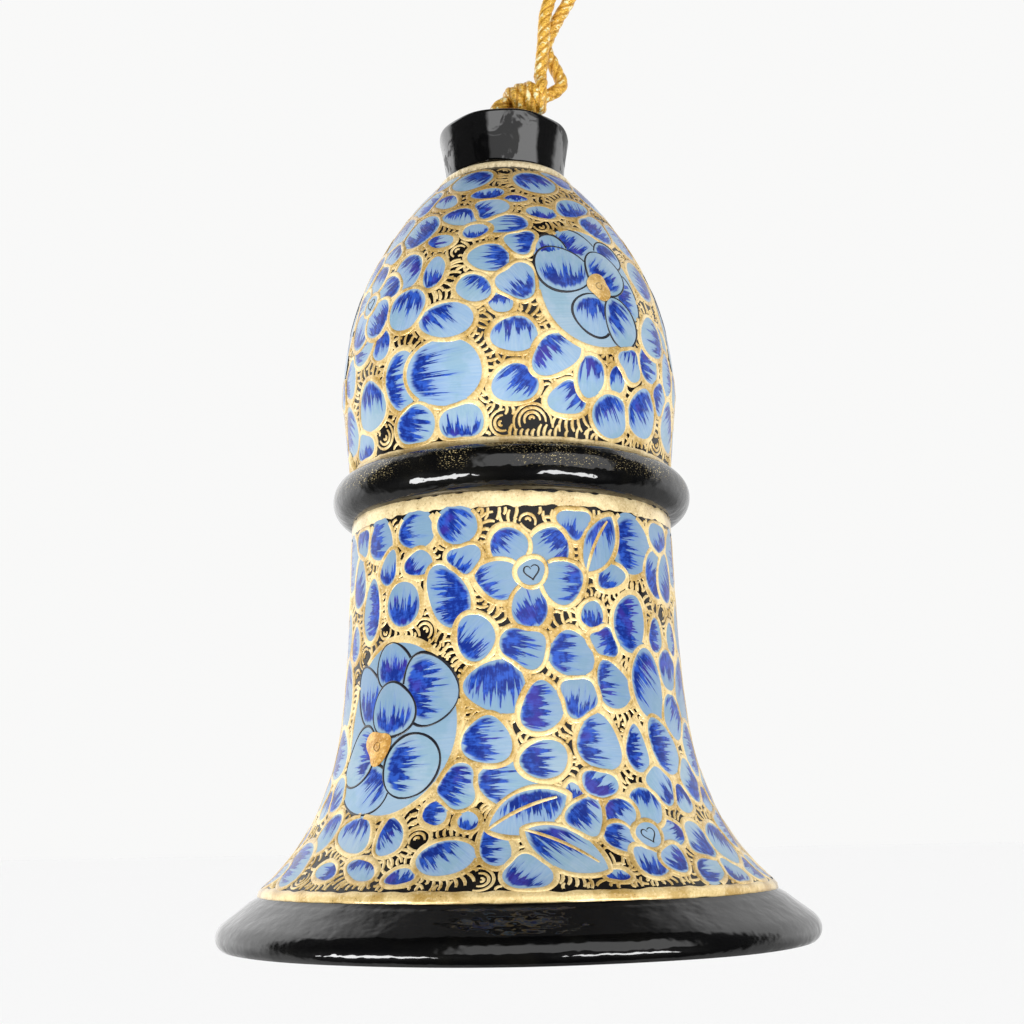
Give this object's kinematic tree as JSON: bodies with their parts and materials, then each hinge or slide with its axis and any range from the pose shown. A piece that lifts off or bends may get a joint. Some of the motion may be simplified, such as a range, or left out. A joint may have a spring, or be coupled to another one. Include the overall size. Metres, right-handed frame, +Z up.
{
  "type": "hanging bell ornament",
  "caption": "Small hanging bell ornament: flared shell in two halves with a beaded waist and rim, crown cap, cord loop to hang it by and a loose clapper inside.",
  "frame": {"origin": "inside of the top of the hanging cord loop, where a hook carries it, straight above the bell's axis", "axes": "+Z up along the bell's axis, from the open mouth to the crown cap and the loop; +X to the right in the flat of the loop, with the front towards -Y"},
  "size_m": [0.0508, 0.0508, 0.1392],
  "materials": {
    "black_lacquer": "gloss",
    "painted_shell": "gloss",
    "blue_paint": "gloss",
    "cobalt_paint": "gloss",
    "gold_paint": "satin",
    "gold_cord": "satin",
    "plain_paper": "matte",
    "card": "matte",
    "twine": "matte",
    "lacquered_bead": "gloss"
  },
  "bodies": {
    "hanger": {"hanger_loop": "gold_cord"},
    "sway_knot": {"hanger_knot": "gold_cord"},
    "stem": {"through_cord": "gold_cord", "stop_washer": "card", "stop_knot": "gold_cord"},
    "bell": {"crown_cap": "black_lacquer", "dome_shell": "painted_shell", "waist_ring": "black_lacquer", "skirt_shell": "painted_shell", "rim_ring": "black_lacquer", "joint_strip": "plain_paper"},
    "clapper_swivel": {"clapper_tie": "twine"},
    "clapper": {"clapper_cord": "twine", "clapper_bead": "lacquered_bead", "clapper_end_knot": "twine"}
  },
  "joints": [
    {"name": "sway_front", "type": "hinge", "parent": "hanger", "child": "sway_knot", "pos_m": [0, 0, -0.0597], "axis": [1, 0, 0], "range_deg": [-30, 30]},
    {"name": "sway_side", "type": "hinge", "parent": "sway_knot", "child": "stem", "pos_m": [0, 0, -0.0597], "axis": [0, 1, 0], "range_deg": [-30, 30]},
    {"name": "bell_spin", "type": "hinge", "parent": "stem", "child": "bell", "pos_m": [0, 0, -0.0634], "axis": [0, 0, 1], "continuous": true},
    {"name": "clapper_turn", "type": "hinge", "parent": "stem", "child": "clapper_swivel", "pos_m": [0, 0, -0.0776], "axis": [0, 0, 1], "continuous": true},
    {"name": "clapper_swing", "type": "hinge", "parent": "clapper_swivel", "child": "clapper", "pos_m": [0, 0, -0.0776], "axis": [0, 1, 0], "range_deg": [-11, 11]}
  ]
}
